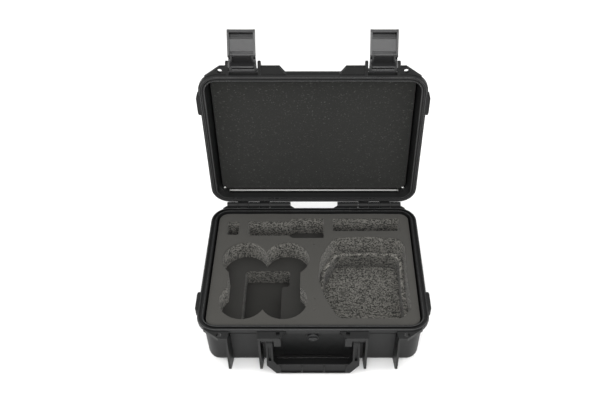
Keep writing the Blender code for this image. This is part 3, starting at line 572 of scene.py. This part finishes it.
class CaseFinishes(bpy.types.PropertyGroup):
    """Colours and grain of the case's materials."""

    shell_colour: colour_setting("Shell", "Colour of the two moulded shells",
                                 (0.0075, 0.0077, 0.0077))
    moving_colour: colour_setting("Handle and valve", "Colour of the handle and the valve",
                                  (0.0052, 0.0053, 0.0054))
    latch_colour: colour_setting("Latches", "Colour of the latches", (0.0105, 0.0106, 0.0111))
    shell_roughness: bpy.props.FloatProperty(
        name="Shell roughness", description="How matt the moulded shells are", default=0.42, min=0,
        max=1, subtype="FACTOR")
    grain: length_setting("Grain", "Width of one dimple of the mould's stipple", 0.9 * MM)
    skin_colour: colour_setting("Foam skin", "Smooth faces of the base's foam",
                                (0.0385, 0.0372, 0.0332))
    cell_dark: colour_setting("Cells, dark", "Open cells of the cut foam", (0.0085, 0.0088, 0.0078))
    cell_light: colour_setting("Cells, light", "Struts between the cells of the cut foam",
                               (0.26, 0.25, 0.225))
    cell: length_setting("Cell", "Width of one open cell of the cut foam", 1.7 * MM)
    lid_foam_colour: colour_setting("Lid foam", "Plain foam sheet in the lid",
                                    (0.0098, 0.0101, 0.0088))
    rubber_colour: colour_setting("Seal", "Rubber cord in the lid's groove", (0.008, 0.008, 0.008))
    steel_colour: colour_setting("Steel", "Rod of the lid", (0.19, 0.19, 0.185))
    stud_colour: colour_setting("Studs", "Bright studs of the lid", (0.8, 0.8, 0.78))
    pin_colour: colour_setting("Pins", "Burnished pins", (0.03, 0.03, 0.031))


class CaseShapes(bpy.types.PropertyGroup):
    """Small radii and the unevenness of the soft pieces."""

    shell_edge: length_setting("Shell edge", "Round on the edges of the moulded shells", 0.6 * MM)
    small_edge: length_setting("Small edge", "Round on the edges of latches and handle", 0.4 * MM)
    foam_edge: length_setting("Foam edge", "Round where a cut-out meets the foam's face", 0.8 * MM)
    foam_unevenness: length_setting("Foam unevenness", "How far the foam's faces rise and fall",
                                    0.25 * MM)
    lid_foam_crown: length_setting("Lid foam crown", "How far the lid's foam swells in its middle",
                                   1.2 * MM)


class CaseStage(bpy.types.PropertyGroup):
    """Floor, lights and camera."""

    floor_colour: colour_setting("Floor", "Colour of the pale floor", (0.96, 0.96, 0.955))
    camera_place: bpy.props.FloatVectorProperty(
        name="Camera", description="Where the camera stands", default=(0.0096, -0.7061, 0.8822),
        size=3, subtype="TRANSLATION", unit="LENGTH")
    camera_tilt: bpy.props.FloatProperty(
        name="Camera tilt", description="Angle between the camera's line of sight and the level",
        default=math.radians(43.594), subtype="ANGLE", unit="ROTATION")
    lens: bpy.props.FloatProperty(name="Lens", description="Focal length of the camera",
                                  default=43.47, subtype="DISTANCE_CAMERA", unit="CAMERA")
    top_light: bpy.props.FloatProperty(name="Top light", description="Power of the light above",
                                       default=70, min=0, subtype="POWER", unit="POWER")
    side_light: bpy.props.FloatProperty(name="Side lights", description="Power of each side light",
                                        default=8, min=0, subtype="POWER", unit="POWER")
    front_light: bpy.props.FloatProperty(name="Front light", description="Power of the front light",
                                         default=13, min=0, subtype="POWER", unit="POWER")
    world_light: bpy.props.FloatProperty(
        name="World light", description="Strength of the white world", default=0.35, min=0)


# ---- foam --------------------------------------------------------------------------------------
def foam_sheet(area, corner, low, high, pockets, edge, unevenness, lattice=7 * MM):
    """Surfaces of a level foam sheet: its outer wall and each pocket's wall are the profile of a
    rounded upper edge and a straight cut carried along the outline; faces above and below close
    it."""
    outer = even(rectangle(*area, corner), 2 * MM)
    lip = quarter(edge, 0, 90)
    levels = np.linspace(low, high - edge, 9)
    outside = [(0, z) for z in levels] + [(x - edge, high - edge + y) for x, y in lip[1:]]
    surfaces = [carried(outer, outside)]
    for pocket in pockets:
        surfaces.append(carried(pocket, [(-x, z) for x, z in outside]))
    rim_loops = [outer - outward(outer) * edge, *(p + outward(p) * edge for p in pockets)]
    surfaces.append(plate(rim_loops[0], rim_loops[1:], high, lattice))
    surfaces.append(plate(outer, pockets, low, 40 * MM))    # unseen, so its lattice is coarse
    return [(uneven(points, low, high, unevenness), faces) for points, faces in surfaces]


def uneven(points, low, high, amount):
    """Lowers the upper face by amount times (1 - wave), where wave is a sum of products of sines,
    fading to nothing at the lower face, and waves the walls sideways by up to 0.12 mm."""
    x, y, z = points.T
    share = (z - low) / (high - low)
    wave = (np.sin(x / (23 * MM) + 1.3) * np.sin(y / (31 * MM) + 0.4)
            + 0.5 * np.sin(x / (9 * MM)) * np.sin(y / (12 * MM) + 2))
    middle = np.sin(math.pi * np.clip(share, 0, 1))
    side = 0.12 * MM * middle * np.sin(x / (2.6 * MM) + y / (3.1 * MM) + z / (7 * MM))
    return np.column_stack([x + side, y + side, z + share * amount * (wave - 1)])


def cut_faces(high, edge, routed):
    """The attribute cut of a sheet: one below its rounded edge, nothing on its face.  A sheet that
    was routed inside a loop is cut all over there."""
    def share(place):
        below = np.clip((high - SKIN_DOWN - place[:, 2]) / edge, 0, 1)
        return below if routed is None else np.maximum(below, inside(place[:, :2], routed))

    return share


def depth(low, high, edge, ledge, start, end):
    """Painted shade of a sheet: from start under its face to end at its lower face, darker deeper
    in the cuts where shade falls, and less on its face within a few millimetres of a ledge, as
    exp(-(d / 3 mm)^2), most at the back, down to a painted highlight along the ledge's edge."""
    def share(place):
        down = start + (end - start) * np.clip((high - edge - place[:, 2]) / (high - low), 0, 1)
        if ledge is None:
            return down
        gap = np.linalg.norm(place[:, None, :2] - ledge[None, ::3], axis=2).min(1)
        on_face = np.clip((place[:, 2] - high + 1.5 * edge) / edge, 0, 1)
        highlight_at_back = np.clip(place[:, 1] / (30 * MM), 0.15, 1)
        return down - on_face * (0.5 + down) * highlight_at_back * np.exp(-(gap / (3 * MM)) ** 2)

    return share


class CASE_OT_base_foam(bpy.types.Operator):
    """Three foam sheets in the base: cut through, cut deeper, and plain"""

    bl_idname = "case.base_foam"
    bl_label = "Base foam"

    def execute(self, context):
        shapes, colours = context.scene.case_shapes, context.scene.case_finishes
        edge, wave = shapes.foam_edge, shapes.foam_unevenness
        cells = (colours.cell_dark, colours.cell_light, colours.cell)
        foam = cut_foam("Cut foam", colours.skin_colour, *cells)
        # painted shade: the lower sheets' skin is 0.46 as light, as their faces lie down in the
        # pockets' shade
        foam_in_painted_shade = cut_foam("Cut foam below", shade(colours.skin_colour, 0.46), *cells)
        goggles = cut_out(GOGGLES, 9)
        pockets = [even(four_ducts(DUCT_RADIUS, BODY_POWER) * MM, CUT_STEP), goggles,
                   cut_out(BATTERY_SLOT, 3), cut_out(CABLE_SLOT, 3), cut_out(SMALL_SLOT, 2.5)]
        hole = rectangle(-PIN_HOLE, PIN_HOLE, -PIN_HOLE, PIN_HOLE, 0.99 * PIN_HOLE, 3)
        pockets += [place_of(spot) + hole for spot in PIN_HOLES]
        deeper = [cut_out(DRONE_DEEP, 5), even(goggles - outward(goggles) * LEDGE, CUT_STEP)]
        for node, cuts in (("base_foam_top", pockets), ("base_foam_middle", deeper),
                           ("base_foam_pad", [])):
            (x0, y0, low), (x1, y1, high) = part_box(node)
            sheet = foam_sheet((x0, x1, y0, y1), BASE_CORNER, low, high, cuts, edge, wave)
            top = node == "base_foam_top"
            # the middle sheet gets a painted highlight along the goggles' ledge, and each sheet
            # painted shade deeper in its cuts
            ledge = deeper[1] if node == "base_foam_middle" else None
            piece = new_piece(node.replace("base_foam", "foam_sheet"), sheet,
                              foam if top else foam_in_painted_shade, "base", "base_foam", [node],
                              cut=cut_faces(high, edge, None if top else goggles),
                              deep=depth(low, high, edge, ledge, *SHEET_PAINTED_SHADE[node]))
        return {"FINISHED"}


class CASE_OT_lid_foam(bpy.types.Operator):
    """The plain foam sheet glued into the lid"""

    bl_idname = "case.lid_foam"
    bl_label = "Lid foam"

    def execute(self, context):
        shapes, colours = context.scene.case_shapes, context.scene.case_finishes
        foam = cut_foam("Lid foam", colours.lid_foam_colour, shade(colours.cell_dark, 0.8),
                        shade(colours.cell_light, 0.3), colours.cell, dust=0.5)
        # shut, the sheet's face looks down at the base, so it is drawn upside down
        (x0, y0, face), (x1, y1, ceiling) = shut_box("lid_foam")
        surfaces = []
        for points, faces in foam_sheet((x0, x1, y0, y1), LID_CORNER, -ceiling, -face, [],
                                        LID_FOAM_EDGE, shapes.foam_unevenness):
            # a crown: 1 - u^4 across and 1 - v^4 along; behind its face the sheet narrows
            u, v = points[:, 0] / x1, (points[:, 1] - (y0 + y1) / 2) / ((y1 - y0) / 2)
            share = (points[:, 2] + ceiling) / (ceiling - face)
            crown = np.clip(1 - u ** 4, 0, 1) * np.clip(1 - v ** 4, 0, 1) * shapes.lid_foam_crown
            x, y = (points[:, axis] * (1 - LID_FOAM_TAPER * (1 - share) / end)
                    for axis, end in ((0, x1), (1, y1)))
            points = np.column_stack([x, y, -points[:, 2] - share * crown])
            surfaces.append((opened(points), faces))
        # the smooth skin is the face that looks forwards; the sides are cut
        front = HINGE[1] + face - HINGE[2] + 0.6 * MM
        piece = new_piece("lid_foam_sheet", surfaces, foam, "lid", "lid_foam", ["lid_foam"],
                          cut=lambda place: np.clip((place[:, 1] - front) / (1.5 * MM), 0, 1))
        return {"FINISHED"}


# ---- shells and moving plastic -----------------------------------------------------------------
class CASE_OT_shells(bpy.types.Operator):
    """The two moulded shells"""

    bl_idname = "case.shells"
    bl_label = "Shells"

    def execute(self, context):
        colours = context.scene.case_finishes
        plastic = moulded_plastic("Moulded plastic", colours.shell_colour, colours.shell_roughness,
                                  colours.grain)
        for node in MOULDED:
            soften(node, context.scene.case_shapes.shell_edge, plastic)
        return {"FINISHED"}


class CASE_OT_rim_beads(bpy.types.Operator):
    """The low rounded beads that run round the rims of the base and the lid"""

    bl_idname = "case.rim_beads"
    bl_label = "Rim beads"

    def execute(self, context):
        colours = context.scene.case_finishes
        # painted highlight: the beads' plastic is 1.8 times as light as the shell's, standing for
        # light along the rims' edges
        plastic = moulded_plastic("Bead plastic", shade(colours.shell_colour, 1.8),
                                  roughness=0.26, grain=colours.grain, shine=0.6)
        (x0, _, z0), (x1, _, z1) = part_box("lid_seal")
        half_x, half_y = (x1 - x0) / 2 + SEAL_INSET, (z1 - z0) / 2 + SEAL_INSET
        for body, way in (("base", 1), ("lid", -1)):
            face = HINGE[2] - way * HALF_PARTING
            # half an ellipse on a foot sunk into the rim
            crown = quarter(1, 0, 180, 8) * place_of((BEAD_HALF, way * BEAD_HIGH))
            foot = place_of([(-0.5, -BEAD_FOOT * way), (0.5, -BEAD_FOOT * way)])
            profile = np.concatenate([crown, foot]) + (0, face)
            surfaces = []
            for inset in place_of(BEAD_INSETS[body]):
                x, y = half_x - inset, half_y - inset
                loop = even(rectangle(-x, x, -y, y, RIM_RADIUS - inset), 3 * MM)
                points, faces = carried(loop, profile, closed=True)
                surfaces.append((points if body == "base" else opened(points), faces))
            new_piece(f"rim_beads_{body}", surfaces, plastic, body, "case_plastic")
        return {"FINISHED"}


class CASE_OT_latches(bpy.types.Operator):
    """The two latches with the grip ribs on their levers"""

    bl_idname = "case.latches"
    bl_label = "Latches"

    def execute(self, context):
        colours, width = context.scene.case_finishes, context.scene.case_shapes.small_edge
        plastic = moulded_plastic("Latch plastic", colours.latch_colour, roughness=0.27,
                                  grain=colours.grain * 0.7, shine=0.5)
        for node in LATCHES:
            soften(node, width, plastic)
        # the bars of the lever, drawn shut and then turned open: ribs across its curved lip and the
        # lower bar of its web
        angles = np.radians(np.arange(-48, -10, 9))
        spots = LEVER_PIN + place_of(LIP_BEND) + LIP_RADIUS * MM * np.stack(
            [0 * angles, np.cos(angles), np.sin(angles)], axis=-1)
        bars = [(spot, bar(LIP_RIB, 12)) for spot in spots]
        bars.append((place_of((0, *WEB_PLACE)), bar(WEB_BAR)))
        for side, tag in ((-1, "left"), (1, "right")):
            middle = np.array([side * LATCH_X, 0, 0])
            ribs = [(swung(points + spot + middle, LEVER_PIN, LEVER_TURN), faces)
                    for spot, (points, faces) in bars]
            ribs = [(opened(swung(points, LATCH_PIN, LINK_TURN)), faces) for points, faces in ribs]
            new_piece(f"latch_ribs_{tag}", ribs, plastic, f"lever_{tag}", "latch_plastic")
            # the bead on the link's toe, which catches the base
            points, faces = bar(TOE_BAR)
            toe = swung(points + place_of((0, *TOE_PLACE)) + middle, LATCH_PIN, LINK_TURN)
            new_piece(f"latch_toe_{tag}", [(opened(toe), faces)], plastic, f"link_{tag}",
                      "latch_plastic")
        return {"FINISHED"}


class CASE_OT_handle(bpy.types.Operator):
    """The folding handle"""

    bl_idname = "case.handle"
    bl_label = "Handle"

    def execute(self, context):
        colours = context.scene.case_finishes
        plastic = moulded_plastic("Handle plastic", colours.moving_colour, roughness=0.4,
                                  grain=colours.grain * 0.8)
        soften("handle", context.scene.case_shapes.small_edge, plastic)
        # ribs between the grip's sunk panels and a bead along its upper front edge, drawn hanging
        # straight down and then swung to the handle's rest
        grip = place_of(GRIP)
        points, faces = bar(GRIP_RIB)
        beads = [(points[:, [1, 2, 0]] + grip + (x * MM, 0, 0), faces) for x in GRIP_RIBS_X]
        points, faces = bar(GRIP_BEAD)
        beads.append((points + grip + place_of(GRIP_BEAD_UP), faces))
        pin = np.array(JOINTS["handle_swing"]["pos_m"])
        beads = [(swung(points, pin, HANDLE_TURN), faces) for points, faces in beads]
        new_piece("handle_beads", beads, plastic, "handle", "latch_plastic")
        return {"FINISHED"}


class CASE_OT_valve(bpy.types.Operator):
    """The pressure valve in the front wall and its knob"""

    bl_idname = "case.valve"
    bl_label = "Valve"

    def execute(self, context):
        colours = context.scene.case_finishes
        # painted highlight: the valve's plastic is 3.4 times as light as the handle's, standing for
        # the light on its ring
        plastic = moulded_plastic("Valve plastic", shade(colours.moving_colour, 3.4),
                                  roughness=0.34, grain=colours.grain * 0.6)
        soften("valve_nut", context.scene.case_shapes.small_edge, plastic)
        x, _, z = JOINTS["valve_turn"]["pos_m"]
        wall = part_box("valve_body")[0][1] + FLANGE_OUT
        surfaces = []
        for profile in (VALVE_FLANGE, VALVE_KNOB):
            points, faces = turned(place_of(profile), 64)
            points = np.column_stack([x + points[:, 1], wall + points[:, 0], z + points[:, 2]])
            surfaces.append((points, faces))
        new_piece("valve_flange", surfaces[:1], plastic, "base", "latch_plastic", ["valve_body"])
        # the bar to turn it by, drawn out of the wall, across the knob's face
        half, radius = TURN_BAR
        points, faces = turned(capsule(half * MM, radius * MM, 6), 24)
        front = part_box("valve_knob")[0][1] + BAR_DEPTH * MM
        grip = np.column_stack([x + points[:, 0], front + points[:, 1] * BAR_DEPTH / radius,
                                z + points[:, 2]])
        new_piece("valve_turn_knob", [surfaces[1], (grip, faces)], plastic, "valve_knob",
                  "latch_plastic", ["valve_knob"])
        return {"FINISHED"}


# ---- seal and steel ----------------------------------------------------------------------------
class CASE_OT_seal(bpy.types.Operator):
    """The rubber cord in the lid's groove"""

    bl_idname = "case.seal"
    bl_label = "Seal"

    def execute(self, context):
        rubber = seal_rubber("Seal rubber", context.scene.case_finishes.rubber_colour)
        (x0, y0, z0), (x1, y1, z1) = shut_box("lid_seal")
        radius = (z1 - z0) / 2
        path = even(rectangle(x0 + radius, x1 - radius, y0 + radius, y1 - radius, SEAL_CORNER, 24),
                    2 * MM)
        angle = np.linspace(0, 2 * math.pi, 16, endpoint=False)
        # a round cord with a flat foot and a shallow groove along its crown
        wide = radius * (1 - 0.12 * np.exp(-((angle - 1.5 * math.pi) / 0.35) ** 2))
        profile = np.stack([wide * np.cos(angle), (z0 + z1) / 2 + wide * np.sin(angle)], axis=-1)
        points, faces = carried(path, profile, closed=True)
        new_piece("seal_cord", [(opened(points), faces)], rubber, "lid", "seal_rubber",
                  ["lid_seal"])
        return {"FINISHED"}


class CASE_OT_steel(bpy.types.Operator):
    """The lid's rod and studs, and the pins of the hinges, latches and handle"""

    bl_idname = "case.steel"
    bl_label = "Steel"

    def execute(self, context):
        steel = drawn_steel("Drawn steel", context.scene.case_finishes.steel_colour)
        bright = drawn_steel("Bright steel", context.scene.case_finishes.stud_colour)
        burnished = drawn_steel("Burnished steel", context.scene.case_finishes.pin_colour)
        for node in PINS:
            soften(node, PIN_EDGE, burnished)
        low, high = map(np.array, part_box("lid_rod"))
        radius, long = (high[2] - low[2]) / 2, high[0] - low[0]
        # the rod ends in domes behind a shallow neck
        dome = quarter(radius, 0, 90, 8)
        shoulder = long / 2 - radius * ROD_DOME
        neck = [(shoulder - back * MM, radius * share) for back, share in ROD_NECK]
        half = np.concatenate([dome * (ROD_DOME, 1) + (shoulder, 0), neck])
        profile = np.concatenate([half, half[::-1] * (-1, 1)])
        points, faces = turned(profile, 32)
        new_piece("foam_rod", [(points + (low + high) / 2, faces)], steel, "lid", "steel",
                  ["lid_rod"])
        for tag in ("left", "right"):
            low, high = map(np.array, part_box(f"lid_stud_{tag}"))
            wide, thick = (high[2] - low[2]) / 2, high[1] - low[1]
            dome = [(thick * (0.35 + 0.65 * math.sin(a)), wide * math.cos(a))
                    for a in np.linspace(0, math.pi / 2, 8)]
            profile = [(0, 0), (0, wide * 0.94), (thick * 0.12, wide)] + dome
            points, faces = turned(profile, 32)
            # the stud's axis lies along Y, its dome towards the front
            points = np.column_stack([points[:, 1], -points[:, 0], points[:, 2]])
            middle = (low + high) / 2
            middle[1] = high[1]
            new_piece(f"foam_stud_{tag}", [(points + middle, faces)], bright, "lid", "steel",
                      [f"lid_stud_{tag}"])
        return {"FINISHED"}


# ---- stage -------------------------------------------------------------------------------------
def soft_light(name, place, aim, size, power):
    lamp = bpy.data.lights.new(name, "AREA")
    lamp.shape = "DISK"
    lamp.size = size
    lamp.energy = power
    light = bpy.data.objects.new(name, lamp)
    bpy.context.scene.collection.objects.link(light)
    light.location = place
    light.rotation_euler = (Vector(aim) - Vector(place)).to_track_quat("-Z", "Y").to_euler()


class CASE_OT_stage(bpy.types.Operator):
    """Pale floor, soft lights and the camera"""

    bl_idname = "case.stage"
    bl_label = "Stage"

    def execute(self, context):
        scene, stage = context.scene, context.scene.case_stage
        scene.view_settings.view_transform = "Standard"
        reach, count = 6.0, 13
        side = np.linspace(-reach, reach, count)
        lattice = np.stack(np.meshgrid(side, side, indexing="ij"), -1).reshape(-1, 2)
        mesh = bpy.data.meshes.new("floor")
        mesh.from_pydata(np.column_stack([lattice, np.zeros(len(lattice))]).tolist(), [],
                         quads(count, count, False)[:, ::-1].tolist())
        mesh.materials.append(studio_floor("Studio floor", stage.floor_colour))
        floor = bpy.data.objects.new("floor", mesh)
        scene.collection.objects.link(floor)

        world = bpy.data.worlds.new("Studio")
        scene.world = world
        world.use_nodes = True
        background = world.node_tree.nodes["Background"].inputs
        background["Color"].default_value = (1, 1, 1, 1)
        background["Strength"].default_value = stage.world_light
        for name, place, aim, size, power in LIGHTS:
            soft_light(name, place, aim, size, getattr(stage, power))

        camera = bpy.data.cameras.new("camera")
        camera.lens = stage.lens
        camera.sensor_width = 36
        camera.shift_x = -1 / 30            # the case stands a little right of the middle
        camera.clip_start = 0.01
        view = bpy.data.objects.new("camera", camera)
        scene.collection.objects.link(view)
        view.location = stage.camera_place
        view.rotation_euler = (math.pi / 2 - stage.camera_tilt, 0, 0)
        scene.camera = view
        return {"FINISHED"}


# ---- add-on ------------------------------------------------------------------------------------
OPERATORS = (CASE_OT_shells, CASE_OT_rim_beads, CASE_OT_base_foam, CASE_OT_lid_foam, CASE_OT_seal,
             CASE_OT_latches, CASE_OT_handle, CASE_OT_valve, CASE_OT_steel, CASE_OT_stage)


class CASE_PT_panel(bpy.types.Panel):
    """Buttons for each piece of the case and its settings"""

    bl_idname = "CASE_PT_panel"
    bl_label = "Carrying case"
    bl_space_type = "VIEW_3D"
    bl_region_type = "UI"
    bl_category = "Case"

    def draw(self, context):
        for operator in OPERATORS:
            self.layout.operator(operator.bl_idname)
        scene = context.scene
        for group in (scene.case_finishes, scene.case_shapes, scene.case_stage):
            box = self.layout.box()
            for name in group.__annotations__:
                box.prop(group, name)


CLASSES = (CaseFinishes, CaseShapes, CaseStage, *OPERATORS, CASE_PT_panel)


def register():
    for item in CLASSES:
        bpy.utils.register_class(item)
    bpy.types.Scene.case_finishes = bpy.props.PointerProperty(type=CaseFinishes)
    bpy.types.Scene.case_shapes = bpy.props.PointerProperty(type=CaseShapes)
    bpy.types.Scene.case_stage = bpy.props.PointerProperty(type=CaseStage)


def unregister():
    del bpy.types.Scene.case_finishes, bpy.types.Scene.case_shapes, bpy.types.Scene.case_stage
    for item in reversed(CLASSES):
        bpy.utils.unregister_class(item)


def main():
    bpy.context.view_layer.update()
    register()
    for operator in OPERATORS:
        getattr(bpy.ops.case, operator.bl_idname.removeprefix("case."))()


if __name__ == "__main__":
    main()
